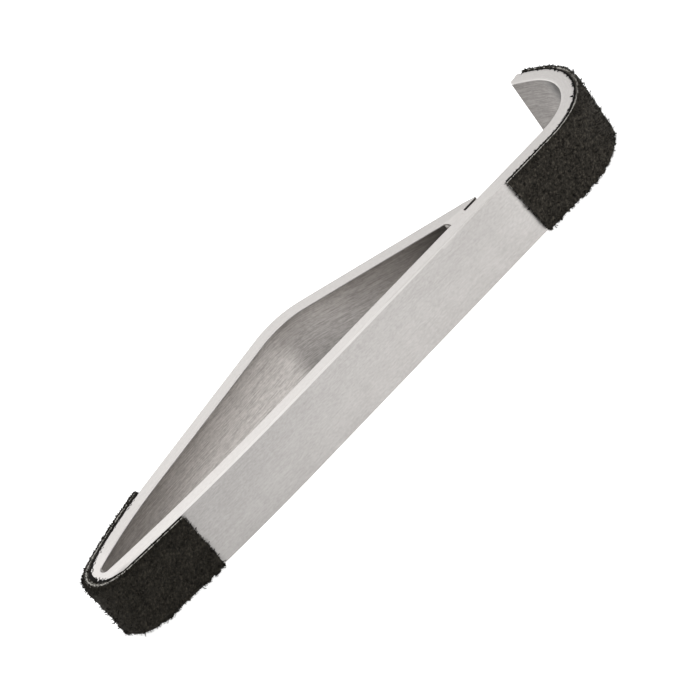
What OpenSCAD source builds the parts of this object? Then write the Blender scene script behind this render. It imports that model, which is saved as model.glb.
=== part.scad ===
// One-bar pry and hook tool for opening and lifting hive parts.
// A flat steel bar is folded back on itself at the nose, crooked into a hand loop
// and welded shut, and its other end curls round into a J hook. Leather pads cover
// the outside of the nose and of the hook. The tool stands on the edge of its bar.
// X runs along the front bar towards the hook, Y towards the hand loop, Z up.
// The origin is on the bar's middle line, under the crest of the loop, on the floor.

/* [Bar stock] */
// Width of the flat bar, which is the height of the tool
bar_w = 25.4; // [16:0.1:40]
// Thickness of the flat bar
bar_t = 4.76; // [3:0.01:6]
// Flat eased along the bar's long edges
edge_ease = 0.3; // [0.1:0.05:0.6]

/* [Front bar] */
// Straight front bar, from under the crest of the loop to the start of the hook
hook_start = 97.1; // [85:0.1:130]

/* [Hook] */
// Inner radius where the bar starts to lift into the hook
lift_r = 24.3; // [15:0.1:40]
// Turn of that first bend
lift_angle = 17.6; // [5:0.1:25]
// Inner radius of the hook
hook_r = 14.1; // [10:0.1:20]
// Turn of the hook
hook_angle = 99.7; // [80:0.1:110]
// Inner radius of the hook's nearly straight lip
lip_r = 38.4; // [25:0.1:60]
// Turn of the lip
lip_angle = 10.1; // [4:0.1:20]
// Radius of the crowned end of the hook
crown_r = 3.4; // [3.2:0.1:8]

/* [Nose] */
// Inner radius of the long sweep that leads the front bar into the nose
sweep_r = 690; // [500:1:1200]
// Turn of that sweep
sweep_angle = 5.7; // [4:0.05:7]
// Inner radius of the folded nose
nose_r = 1.75; // [1:0.05:4]
// Inner radius of the cheek that leads the nose into the strut
cheek_r = 144; // [100:1:180]
// Turn of the cheek
cheek_angle = 12.5; // [10:0.1:14]

/* [Hand loop] */
// Corner of the strut's middle line, above the middle line of the front bar
crest_rise = 33.8; // [30:0.1:45]
// Slope at which the strut climbs from the nose
climb_angle = 11.05; // [9:0.05:14]
// Slope at which the strut falls back to the front bar
fall_angle = 25.5; // [22:0.1:34]
// Inner radius of the crook at the crest of the loop
crook_r = 25.5; // [12:0.1:30]

/* [Weld] */
// Open seam between the strut's bevelled end and the front bar
seam_gap = 0.8; // [0.4:0.05:1.2]
// Length ground off the strut's thin end, along the bar
blunt_len = 2.3; // [1:0.1:4]
// Slope of the blunted end
blunt_angle = 40; // [32:1:60]
// Leg of the weld bead on the front bar, before the corner of the loop
bead_leg = 4.9; // [3:0.1:7]
// Radius of the bead's hollow face
bead_r = 4.6; // [3.5:0.1:6]
// Length of fused seam, from the corner of the loop towards the strut's end
fused_len = 1.5; // [0.5:0.1:3]

/* [Pads] */
// Thickness of the leather
pad_t = 1.3; // [0.8:0.05:2.5]
// Thickness of the glue and backing layer under the leather
glue_t = 0.8; // [0.3:0.05:1.5]
// Setback of the glue layer from the leather's edges
glue_inset = 0.2; // [0.1:0.05:0.5]
// Nose pad's cover of the front bar, measured from the folded nose
nose_pad_front = 27.4; // [15:0.1:32]
// Nose pad's cover of the strut side, measured from the folded nose
nose_pad_back = 28.4; // [15:0.1:32]
// Hook pad's cover of the front bar's lower edge, measured from the start of the hook
hook_pad_front = 18.3; // [12:0.1:30]
// Bare steel between the hook pad and the crowned end of the hook
hook_pad_bare = 0; // [0:0.1:8]
// Skew of the hook pad's cut end on the front bar, which leans towards the nose
hook_pad_skew = 5; // [0:0.5:8]

/* [Hidden] */
$fn = 180;
steel = "#d3d0ce";
weld_steel = "#bdb9b6";
leather = "#26231f";
glue = "#141312";
half_t = bar_t / 2;
lap = 0.05;                 // how far neighbouring stretches of the bar lap
relief = 0.01;              // how much a bend thins the bar on each side
reach = 3 * bar_w;          // reach of the cutting blocks
past = 1;                   // how far a cutter passes the faces that it cuts
degree = PI / 180;

// A stretch of the bar is [length of its middle line, turn in degrees].
// A turn of 0 is straight. Every turn bends the bar towards the inside of the tool.
function straight(length) = [length, 0];
function bend(inner_r, angle) = [(inner_r + half_t) * angle * degree, angle];
function seg_r(seg) = seg[0] / (seg[1] * degree);
function length_to(segs, index) = index == 0
  ? 0
  : length_to(segs, index - 1) + segs[index - 1][0];

// A pose is [x, y, heading]. side is 1 where the path turns left and -1 where it turns right.
function along(angle) = [cos(angle), sin(angle)];
function across(angle) = [-sin(angle), cos(angle)];
function seg_shift(pose, seg, side) = seg[1] == 0
  ? seg[0] * along(pose[2])
  : side * seg_r(seg) * (across(pose[2]) - across(pose[2] + side * seg[1]));
function seg_end(pose, seg, side) =
  let (shift = seg_shift(pose, seg, side))
  [pose[0] + shift[0], pose[1] + shift[1], pose[2] + side * seg[1]];
function pose_at(start, segs, side, index) = index == 0
  ? start
  : seg_end(pose_at(start, segs, side, index - 1), segs[index - 1], side);

// Rise and run of the middle line through a right-hand bend between two headings
function bend_rise(inner_r, from, to) = (inner_r + half_t) * (cos(to) - cos(from));
function bend_run(inner_r, from, to) = (inner_r + half_t) * (sin(from) - sin(to));

// The strut is worked out backwards from the crest of the loop to the nose.
crook_angle = climb_angle + fall_angle;
crook_leg = (crook_r + half_t) * tan(crook_angle / 2);
nose_in = 180 - sweep_angle;
nose_out = climb_angle + cheek_angle;
nose_rise = bend_rise(sweep_r, 180, nose_in)
  + bend_rise(nose_r, nose_in, nose_out)
  + bend_rise(cheek_r, nose_out, climb_angle);
nose_run = bend_run(sweep_r, 180, nose_in)
  + bend_run(nose_r, nose_in, nose_out)
  + bend_run(cheek_r, nose_out, climb_angle);
climb_len = (crest_rise - nose_rise) / sin(climb_angle);
sweep_start = -climb_len * cos(climb_angle) - nose_run;
fall_len = (crest_rise - half_t) / sin(fall_angle);

// From the start of the hook along the front bar, round the nose and up the strut
nose_start = [hook_start, 0, 180];
nose_path = [
  straight(hook_start - sweep_start),
  bend(sweep_r, sweep_angle),
  bend(nose_r, nose_in - nose_out),
  bend(cheek_r, cheek_angle),
  straight(climb_len - crook_leg),
  bend(crook_r, crook_angle),
  straight(fall_len - crook_leg + bar_t / tan(fall_angle))
];
last = len(nose_path) - 1;
fold_in = length_to(nose_path, 2);
fold_out = length_to(nose_path, 3);

// From the start of the hook, round the hook to its crowned end
hook_pose = [hook_start, 0, 0];
hook_path = [
  bend(lift_r, lift_angle),
  bend(hook_r, hook_angle),
  bend(lip_r, lip_angle)
];
hook_len = length_to(hook_path, len(hook_path));

// Where the strut's underside would meet the back of the front bar
corner_x = (crest_rise - half_t / cos(fall_angle) - half_t) / tan(fall_angle);
seam_y = half_t + seam_gap;
// Where the strut's sharp end would meet the top of the open seam
sharp_x = (crest_rise + half_t / cos(fall_angle) - seam_y) / tan(fall_angle);

// Section of a layer from o0 to o1 outwards and z0 to z1 upwards, with eased corners
function section(o0, o1, z0, z1, ease) = [
  [o0 + ease, z0], [o1 - ease, z0], [o1, z0 + ease], [o1, z1 - ease],
  [o1 - ease, z1], [o0 + ease, z1], [o0, z1 - ease], [o0, z0 + ease]
];
function bar_section() = section(-half_t, half_t, 0, bar_w, edge_ease);

// Part of one stretch, from distance s0 to s1 along its middle line
module stretch(pose, seg, side, s0, s1, outline) {
  if (seg[1] == 0)
    translate([pose[0], pose[1], 0])
      rotate([90, 0, pose[2] + 90])
        translate([0, 0, s0])
          linear_extrude(s1 - s0)
            polygon([for (p = outline) [-side * p[0], p[1]]]);
  else {
    r = seg_r(seg);
    a0 = s0 / r / degree;
    a1 = s1 / r / degree;
    centre = [pose[0], pose[1]] + side * r * across(pose[2]);
    translate([centre[0], centre[1], 0])
      rotate(side > 0 ? pose[2] - 90 + a0 : pose[2] + 90 - a1)
        rotate_extrude(angle = a1 - a0)
          polygon([for (p = outline) [r + p[0], p[1]]]);
  }
}

// A layer that follows a path from distance s0 to s1, spanning o0 to o1 outwards and
// z0 to z1 upwards. The bends between two straight stretches are thinned by the relief.
module layer(start, segs, side, s0, s1, o0, o1, z0, z1, ease = 0) {
  for (i = [0 : len(segs) - 1]) {
    done = length_to(segs, i);
    from = max(s0 - done, -lap);
    to = min(s1 - done, segs[i][0] + lap);
    shy = relief * ((i + (side > 0 ? 1 : 0)) % 2);
    if (to > from)
      stretch(pose_at(start, segs, side, i), segs[i], side, from, to,
        section(o0 + shy, o1 - shy, z0, z1, ease));
  }
}

// Everything on the right of a line that leaves [x, y] at an angle
module right_of(x, y, angle) {
  translate([x, y, -past])
    rotate(angle)
      translate([-reach, -reach, 0])
        cube([2 * reach, reach, bar_w + 2 * past]);
}

// The crowned end of the hook
module hook_crown() {
  end = pose_at(hook_pose, hook_path, 1, len(hook_path));
  intersection() {
    stretch(end, straight(crown_r), 1, -lap, crown_r, bar_section());
    translate([end[0], end[1], -past])
      cylinder(h = bar_w + 2 * past, r = crown_r);
  }
}

// The strut's last stretch, bevelled to lie along the front bar and blunted at its tip
module strut_foot() {
  difference() {
    stretch(pose_at(nose_start, nose_path, -1, last), nose_path[last], -1,
      -lap, nose_path[last][0], bar_section());
    right_of(corner_x, seam_y, 0);
    right_of(sharp_x - blunt_len, seam_y, 180 - blunt_angle);
  }
}

// The whole bent bar, in one piece
module steel_bar() {
  color(steel) {
    layer(nose_start, nose_path, -1, -lap, length_to(nose_path, last),
      -half_t, half_t, 0, bar_w, edge_ease);
    strut_foot();
    layer(hook_pose, hook_path, 1, -lap, hook_len + lap,
      -half_t, half_t, 0, bar_w, edge_ease);
    hook_crown();
  }
}

// The weld fills the corner of the loop, with a hollow face, and the start of the seam
module weld_bead() {
  hollow_x = corner_x - bead_leg - bead_r;
  under_y = half_t + (corner_x - hollow_x) * tan(fall_angle);
  color(weld_steel)
    difference() {
      translate([0, 0, edge_ease])
        linear_extrude(bar_w - 2 * edge_ease)
          polygon([
            [hollow_x, half_t], [corner_x + fused_len, half_t],
            [corner_x + fused_len, seam_y], [corner_x - seam_gap / tan(fall_angle), seam_y],
            [hollow_x, under_y]
          ]);
      translate([hollow_x, half_t, -past])
        cylinder(h = bar_w + 2 * past, r = bead_r);
      translate([hollow_x - past, half_t, -past])
        cube([bead_r + past, reach, bar_w + 2 * past]);
    }
}

// One layer of the nose pad, from inner to outer over the steel
module nose_layer(inner, outer, inset) {
  layer(nose_start, nose_path, -1,
    fold_in - nose_pad_front + inset, fold_out + nose_pad_back - inset,
    half_t + inner, half_t + outer, inset, bar_w - inset);
}

// One layer of the hook pad, whose end on the front bar is cut on the skew
module hook_layer(inner, outer, inset) {
  o0 = half_t + inner;
  o1 = half_t + outer;
  uncut = hook_pad_front + bar_w * tan(hook_pad_skew) + past;
  layer(hook_pose, hook_path, 1, -lap, hook_len - hook_pad_bare - inset,
    o0, o1, inset, bar_w - inset);
  difference() {
    layer(nose_start, nose_path, -1, -lap, uncut, o0, o1, inset, bar_w - inset);
    translate([hook_start - hook_pad_front + inset, 0, 0])
      rotate([0, -hook_pad_skew, 0])
        translate([-reach, -reach, -reach])
          cube([reach, 2 * reach, 3 * reach]);
  }
}

module nose_pad_glue() {
  color(glue) nose_layer(0, glue_t, glue_inset);
}

module nose_pad() {
  color(leather) nose_layer(glue_t, glue_t + pad_t, 0);
}

module hook_pad_glue() {
  color(glue) hook_layer(0, glue_t, glue_inset);
}

module hook_pad() {
  color(leather) hook_layer(glue_t, glue_t + pad_t, 0);
}

steel_bar();
weld_bead();
nose_pad_glue();
nose_pad();
hook_pad_glue();
hook_pad();
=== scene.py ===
"""Looks of the hive tool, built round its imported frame.

The tool is one flat steel bar, bent into a hand loop with a folded nose and a curled hook,
welded shut, and faced with suede at both ends. It stands on the edge of its bar, on the floor.
Lengths are in metres. X runs along the front bar, Y towards the hand loop, and Z up.
"""

import logging
import math
from dataclasses import dataclass, field
from enum import Enum
from functools import reduce
from itertools import accumulate
from typing import Callable

import bpy
from mathutils import Matrix, Vector, noise


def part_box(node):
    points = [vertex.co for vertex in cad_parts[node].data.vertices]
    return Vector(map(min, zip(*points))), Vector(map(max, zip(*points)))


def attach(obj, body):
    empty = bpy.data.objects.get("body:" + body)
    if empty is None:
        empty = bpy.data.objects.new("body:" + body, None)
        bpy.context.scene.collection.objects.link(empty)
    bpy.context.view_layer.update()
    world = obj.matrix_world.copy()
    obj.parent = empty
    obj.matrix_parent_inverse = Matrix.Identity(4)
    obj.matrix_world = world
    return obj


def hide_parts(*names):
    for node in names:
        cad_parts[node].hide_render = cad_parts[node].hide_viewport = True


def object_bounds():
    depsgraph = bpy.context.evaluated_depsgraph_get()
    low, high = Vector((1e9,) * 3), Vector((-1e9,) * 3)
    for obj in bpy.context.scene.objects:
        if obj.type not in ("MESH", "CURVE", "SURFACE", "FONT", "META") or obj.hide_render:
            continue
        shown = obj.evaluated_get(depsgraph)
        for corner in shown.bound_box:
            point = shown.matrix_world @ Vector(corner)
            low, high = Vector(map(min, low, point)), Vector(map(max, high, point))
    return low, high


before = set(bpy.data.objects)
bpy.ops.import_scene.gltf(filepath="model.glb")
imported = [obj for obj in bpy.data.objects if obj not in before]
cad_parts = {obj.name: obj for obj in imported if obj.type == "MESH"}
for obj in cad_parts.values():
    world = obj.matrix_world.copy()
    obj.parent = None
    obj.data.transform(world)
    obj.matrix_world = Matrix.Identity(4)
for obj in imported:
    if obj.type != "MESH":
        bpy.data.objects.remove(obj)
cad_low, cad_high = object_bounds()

MM = 0.001
BODY = "root"
HALVINGS = 50
LOG = logging.getLogger("hive_tool")

Point = tuple[float, float]
Span = tuple[float, float]
Triple = tuple[float, float, float]
Shares = tuple[float, ...]


# ----------------------------------------------------------------- node trees


class Value:
    """A node's output that takes part in Python arithmetic."""

    def __init__(self, nodes: "Nodes", socket: bpy.types.NodeSocket) -> None:
        """Wraps an output socket of a node tree."""
        self.nodes = nodes
        self.socket = socket

    def maths(self, operation: str, *others: "Value | float", first: bool = True) -> "Value":
        """Adds one Math node, with this value as its first operand or, if reflected, as its last."""
        inputs = dict(enumerate([self, *others] if first else [*others, self]))
        return self.nodes.node("ShaderNodeMath", {"operation": operation}, inputs)["Value"]

    def __add__(self, other: "Value | float") -> "Value":
        """Adds."""
        return self.maths("ADD", other)

    def __radd__(self, other: float) -> "Value":
        """Adds, reflected."""
        return self.maths("ADD", other, first=False)

    def __sub__(self, other: "Value | float") -> "Value":
        """Subtracts."""
        return self.maths("SUBTRACT", other)

    def __rsub__(self, other: float) -> "Value":
        """Subtracts, reflected."""
        return self.maths("SUBTRACT", other, first=False)

    def __mul__(self, other: "Value | float") -> "Value":
        """Multiplies."""
        return self.maths("MULTIPLY", other)

    def __rmul__(self, other: float) -> "Value":
        """Multiplies, reflected."""
        return self.maths("MULTIPLY", other, first=False)

    def __truediv__(self, other: "Value | float") -> "Value":
        """Divides."""
        return self.maths("DIVIDE", other)

    def __rtruediv__(self, other: float) -> "Value":
        """Divides, reflected."""
        return self.maths("DIVIDE", other, first=False)

    def between(self, low: float, high: float) -> "Value":
        """Maps low to 0 and high to 1, smoothly, and holds the ends."""
        return self.nodes.node("ShaderNodeMapRange", {"interpolation_type": "SMOOTHSTEP"}, {
            "Value": self, "From Min": low, "From Max": high})["Result"]


def find_socket(sockets: bpy.types.bpy_prop_collection, key: str | int) -> bpy.types.NodeSocket:
    """Finds one of a node's sockets by its number, identifier or name."""
    by_identifier = {socket.identifier: socket for socket in sockets}
    return by_identifier[key] if key in by_identifier else sockets[key]


class Built:
    """A node of a tree, whose outputs are read as values."""

    def __init__(self, nodes: "Nodes", node: bpy.types.Node) -> None:
        """Wraps a node of a node tree."""
        self.nodes = nodes
        self.node = node

    def __getitem__(self, key: str | int) -> Value:
        """Reads one output by its number, identifier or name."""
        return Value(self.nodes, find_socket(self.node.outputs, key))


class Nodes:
    """A node tree that is filled in from Python."""

    def __init__(self, tree: bpy.types.NodeTree) -> None:
        """Takes a tree over and empties it."""
        self.tree = tree
        self.tree.nodes.clear()

    def node(self, kind: str, settings: dict | None = None, inputs: dict | None = None) -> Built:
        """Adds a node, sets its settings first and then its inputs.

        Args:
            kind: The node's type.
            settings: Its properties.
            inputs: The values or links of its sockets, by number, identifier or name.

        Returns:
            The node.
        """
        made = self.tree.nodes.new(kind)
        for key, setting in (settings or {}).items():
            setattr(made, key, setting)
        for key, given in (inputs or {}).items():
            socket = find_socket(made.inputs, key)
            if isinstance(given, Value):
                self.tree.links.new(given.socket, socket)
            else:
                socket.default_value = given
        return Built(self, made)


def blend(shares: Shares, *values: Value) -> Value:
    """Adds values up, each times its share."""
    return reduce(Value.__add__, [value * share for share, value in zip(shares, values)])


def opaque(colour: Value | Triple) -> Value | tuple[float, ...]:
    """Gives a plain colour its alpha, and leaves a value as it is."""
    return colour if isinstance(colour, Value) else (*colour, 1.0)


class Graph(Nodes):
    """The node tree of one material. Its place is the place on the piece, in the shared frame."""

    def __init__(self, name: str) -> None:
        """Makes a material with an empty tree.

        Args:
            name: The material's name.
        """
        self.material = bpy.data.materials.new(name)
        self.material.use_nodes = True
        super().__init__(self.material.node_tree)
        self.place = self.node("ShaderNodeTexCoord")["Object"]

    def noise(self, place: Value, scale: float, detail: float = 4.0, rough: float = 0.5) -> Value:
        """Noise of about 0.5, read at a place. Its finer octaves are as strong as rough says."""
        inputs = {"Vector": place, "Scale": scale, "Detail": detail, "Roughness": rough}
        return self.node("ShaderNodeTexNoise", {"noise_dimensions": "3D"}, inputs)["Fac"]

    def drawn_noise(self, place: Value, scale: Span, detail: float, rough: float) -> Value:
        """Noise that is drawn out, because each of its two axes has a scale of its own."""
        drawn = self.node("ShaderNodeMapping", None, {"Vector": place, "Scale": (*scale, 1)})
        return self.noise(drawn["Vector"], 1.0, detail, rough)

    def combed(self, place: Value, sizes: Triple, lean: float) -> Value:
        """A place in a pattern's own sizes, whose Z axis leans some degrees towards X."""
        inputs = {"Vector": place, "Rotation": (0.0, math.radians(lean), 0.0), "Scale": sizes}
        return self.node("ShaderNodeMapping", {"vector_type": "TEXTURE"}, inputs)["Vector"]

    def part(self, place: Value, axis: str) -> Value:
        """One coordinate of a place."""
        return self.node("ShaderNodeSeparateXYZ", None, {"Vector": place})[axis]

    def upward(self) -> Value:
        """How far the surface faces upwards."""
        return self.part(self.node("ShaderNodeNewGeometry")["Normal"], "Z")

    def uv(self, name: str) -> Value:
        """The piece's own UV map of that name."""
        return self.node("ShaderNodeUVMap", {"uv_map": name})["UV"]

    def attribute(self, name: str) -> Value:
        """The piece's own attribute of that name."""
        return self.node("ShaderNodeAttribute", {"attribute_name": name})["Fac"]

    def mix(self, factor: Value, first: Value | Triple, second: Value | Triple) -> Value:
        """Mixes two colours: all of the first where the factor is 0, of the second where it is 1."""
        inputs = {"Factor_Float": factor, "A_Color": opaque(first), "B_Color": opaque(second)}
        return self.node("ShaderNodeMix", {"data_type": "RGBA"}, inputs)["Result_Color"]

    def tones(self, tone: Value, stops: Triple, dark: Triple, mid: Triple, pale: Triple) -> Value:
        """Colours a tone: dark below the first stop, mid at the second, pale past the third."""
        low = self.mix(tone.between(*stops[:2]), dark, mid)
        return self.mix(tone.between(*stops[1:]), low, pale)

    def scaled(self, colour: Value, factor: Value) -> Value:
        """Multiplies a colour by a number."""
        inputs = {"Vector": colour, "Scale": factor}
        return self.node("ShaderNodeVectorMath", {"operation": "SCALE"}, inputs)["Vector"]

    def bump(self, height: Value, strength: float, distance: float) -> Value:
        """The normal, turned by a height that stands for that distance where it is 1."""
        inputs = {"Height": height, "Strength": strength, "Distance": distance}
        return self.node("ShaderNodeBump", None, inputs)["Normal"]


# ------------------------------------------------------------------- finishes

STRIP_UV = "strip"
DEPTH = "depth"
FRAY = "fray"
SWELL = "swell"
INSIDE = "inside"
# Mark of how far the steel is darkened: painted shade on the inner faces, a painted highlight where it
# is below 0, and a plain darkening of the strut's other faces.
DARKENING = "dull"


@dataclass(frozen=True)
class Finish:
    """A finish. Its name is also its material's."""

    name: str

    def sockets(self, g: Graph) -> dict:
        """The values of the surface shader's sockets, worked out in a material's graph."""
        raise NotImplementedError

    def material(self) -> bpy.types.Material:
        """Builds the material.

        Returns:
            The material, with its surface shader.
        """
        g = Graph(self.name)
        shader = g.node("ShaderNodeBsdfPrincipled", None, self.sockets(g))
        g.node("ShaderNodeOutputMaterial", None, {"Surface": shader["BSDF"]})
        return g.material


@dataclass(frozen=True)
class BrushedSteel(Finish):
    """Bare flat bar, brushed along its length, read from the strip UV map.

    Its eased upper edges carry a painted highlight, fainter towards the hook, and its flat upper side
    carries painted shade towards the hook. Its outer faces carry painted shade towards the nose, high
    up and all over, and a painted highlight beside the hook's pad. Its inner faces keep coarser marks,
    and their darker colours are painted shade. The piece's own marks say which faces are inner ones
    and how far each point is darkened: on the inner faces by painted shade, or by a painted highlight
    where the mark is below 0, and on the strut's other faces plainly.
    """

    name: str = "brushed_steel"
    light: Triple = (0.57, 0.55, 0.535)
    dark: Triple = (0.42, 0.403, 0.39)
    # The inner colours are darker than the outer ones: painted shade for the insides of the loop and
    # hook.
    inside_light: Triple = (0.505, 0.479, 0.459)
    inside_dark: Triple = (0.31, 0.292, 0.279)
    # Painted highlight: the eased upper edges are coloured brighter than the bar, less so towards the
    # hook.
    edge: Triple = (0.705, 0.683, 0.665)
    edge_far: Triple = (0.585, 0.566, 0.548)
    edge_up: tuple[float, float, float, float] = (0.1, 0.35, 0.9, 0.99)
    # Painted shade on the flat upper side towards the hook, held off the hook itself.
    far: Span = (-70 * MM, 90 * MM)
    far_shade: float = 0.07
    far_end: Span = (104 * MM, 88 * MM)
    # Painted shade over all the outer faces.
    face_shade: float = 0.1
    # Painted highlight on the outer face beside the hook's pad, against the pad's dark reflection and
    # shadow.
    clean_shade: float = 0.08
    face_clean: Span = (64 * MM, 77 * MM)
    rim_shade: float = 0.16
    face_rim: Span = (75.5 * MM, 78.8 * MM)
    pad_skew: float = 0.087
    # Painted shade on the outer faces, growing with height.
    high_shade: float = 0.12
    high: Span = (3 * MM, 23 * MM)
    # Gain of the darkening mark: painted shade and painted highlight on the inner faces.
    dull_shade: float = 0.5
    # Painted shade on the outer faces towards the nose; it is not wear.
    nose_shade: float = 0.17
    nose_worn: Span = (20 * MM, -80 * MM)
    face_up: Span = (0.5, 0.1)
    roughness: float = 0.38
    streak_rough: float = 0.2
    cloud_rough: float = 0.1
    streak_length: float = 6.5 * MM
    streak_width: float = 0.42 * MM
    streak_shares: Shares = (0.7, 0.3)
    outer_shares: Shares = (0.35, 0.15, 0.15, 0.35)
    inner_shares: Shares = (0.32, 0.34, 0.16, 0.18)
    outer_range: Span = (0.36, 0.64)
    inner_range: Span = (0.412, 0.585)
    least_contrast: float = 0.4
    face_contrast: float = 0.4
    cloud: float = 7 * MM
    coarse: Span = (0.6, 0.25)
    thin: Span = (0.8, 1.5)
    blotch: float = 1.3 * MM
    blotch_drawn: float = 0.4
    speckle: float = 0.55 * MM
    speckle_drawn: float = 0.45
    groove: float = 0.008 * MM

    def marks(self, g: Graph, face: Value) -> tuple[Value, Value, Value, Value]:
        """The brush marks and stains.

        Args:
            g: The material's graph.
            face: Where the outer faces are, from 0 to 1.

        Returns:
            The streaks, the clouds, and the tone of the outer and of the inner faces.
        """
        strip = g.uv(STRIP_UV)
        long, across = 1 / self.streak_length, 1 / self.streak_width
        coarse_scale = long * self.coarse[0], across * self.coarse[1]
        thin_scale = long * self.thin[0], across * self.thin[1]
        blotch_scale = self.blotch_drawn / self.blotch, 1 / self.blotch
        speckle_scale = self.speckle_drawn / self.speckle, 1 / self.speckle
        fine = g.drawn_noise(strip, (long, across), detail=3, rough=0.65)
        coarse = g.drawn_noise(strip, coarse_scale, detail=3, rough=0.55)
        thin = g.drawn_noise(strip, thin_scale, detail=3, rough=0.65)
        blotch = g.drawn_noise(strip, blotch_scale, detail=3, rough=0.6)
        speckle = g.drawn_noise(strip, speckle_scale, detail=2, rough=0.6)
        cloud = g.noise(g.place, 1 / self.cloud, detail=3, rough=0.5)
        streaks = blend(self.streak_shares, fine, coarse)
        calm = blend(self.outer_shares, streaks, cloud, blotch, speckle)
        calm = 0.5 + (calm - 0.5) * (self.least_contrast + face * self.face_contrast)
        busy = blend(self.inner_shares, streaks, thin, blotch, speckle)
        return streaks, cloud, calm, busy

    def sockets(self, g: Graph) -> dict:
        """The values of the surface shader's sockets.

        Args:
            g: The material's graph.

        Returns:
            The values by socket.
        """
        x, z, upward = g.part(g.place, "X"), g.part(g.place, "Z"), g.upward()
        inside = g.attribute(INSIDE)
        low, lit, high, flat = self.edge_up
        # Mask of the painted highlight on the eased edges that face partly upwards.
        edge = upward.between(low, lit) * upward.between(flat, high)
        face = upward.between(*self.face_up) * (1.0 - inside)
        far = x.between(*self.far)
        # Mask of the painted shade on the flat upper side.
        top = upward.between(high, flat) * x.between(*self.far_end)
        streaks, cloud, calm, busy = self.marks(g, face)
        outer = g.mix(calm.between(*self.outer_range), self.dark, self.light)
        # Inner faces: coarser marks, in colours darkened by painted shade.
        inner = g.mix(busy.between(*self.inner_range), self.inside_dark, self.inside_light)
        # Painted highlight beside the hook's pad, following its skewed cut edge.
        by_pad = x + z * self.pad_skew
        pad_gleam = (by_pad.between(*self.face_clean) * self.clean_shade
                 + by_pad.between(*self.face_rim) * self.rim_shade)
        # Ramps of painted shade: towards the nose (not wear) and up the outer faces.
        worn, upper = x.between(*self.nose_worn), z.between(*self.high)
        # Painted shade and highlight: the darkening mark, shade on the upper side towards the hook, and
        # on the outer faces shade towards the nose, high up and all over, lifted beside the hook's pad.
        shade = (1.0 - g.attribute(DARKENING) * self.dull_shade - top * far * self.far_shade
                 - face * (worn * self.nose_shade + upper * self.high_shade + self.face_shade - pad_gleam))
        bare = g.scaled(g.mix(inside, outer, inner), shade)
        rough = (streaks - 0.5) * self.streak_rough
        return {
            # The eased edges take the painted highlight colour.
            "Base Color": g.mix(edge, bare, g.mix(far, self.edge, self.edge_far)),
            "Metallic": 1.0,
            "Roughness": self.roughness + rough + (cloud - 0.5) * self.cloud_rough,
            "Normal": g.bump(streaks, strength=0.5, distance=self.groove),
        }


@dataclass(frozen=True)
class WeldMetal(Finish):
    """Weld metal with the ripples that each dab of filler leaves."""

    name: str = "weld_metal"
    light: Triple = (0.56, 0.54, 0.52)
    dark: Triple = (0.2, 0.185, 0.17)
    roughness: float = 0.42
    rough_play: float = 0.3
    tone_range: Span = (0.2, 0.8)
    ripple: float = 1.3 * MM
    ripple_scale: float = 0.24
    ripple_bent: float = 6.0
    ripple_shares: Shares = (0.6, 0.4)
    depth: float = 0.12 * MM

    def sockets(self, g: Graph) -> dict:
        """The values of the surface shader's sockets.

        Args:
            g: The material's graph.

        Returns:
            The values by socket.
        """
        grain = g.noise(g.place, 1 / self.ripple, detail=4, rough=0.6)
        settings = {"wave_type": "BANDS", "bands_direction": "Z", "wave_profile": "SIN"}
        inputs = {"Vector": g.place, "Scale": self.ripple_scale / self.ripple,
                  "Distortion": self.ripple_bent, "Detail": 3.0}
        ripples = g.node("ShaderNodeTexWave", settings, inputs)["Fac"]
        height = blend(self.ripple_shares, ripples, grain)
        return {
            "Base Color": g.mix(height.between(*self.tone_range), self.dark, self.light),
            "Metallic": 1.0,
            "Roughness": self.roughness + (grain - 0.5) * self.rough_play,
            "Normal": g.bump(height, strength=0.6, distance=self.depth),
        }


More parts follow.
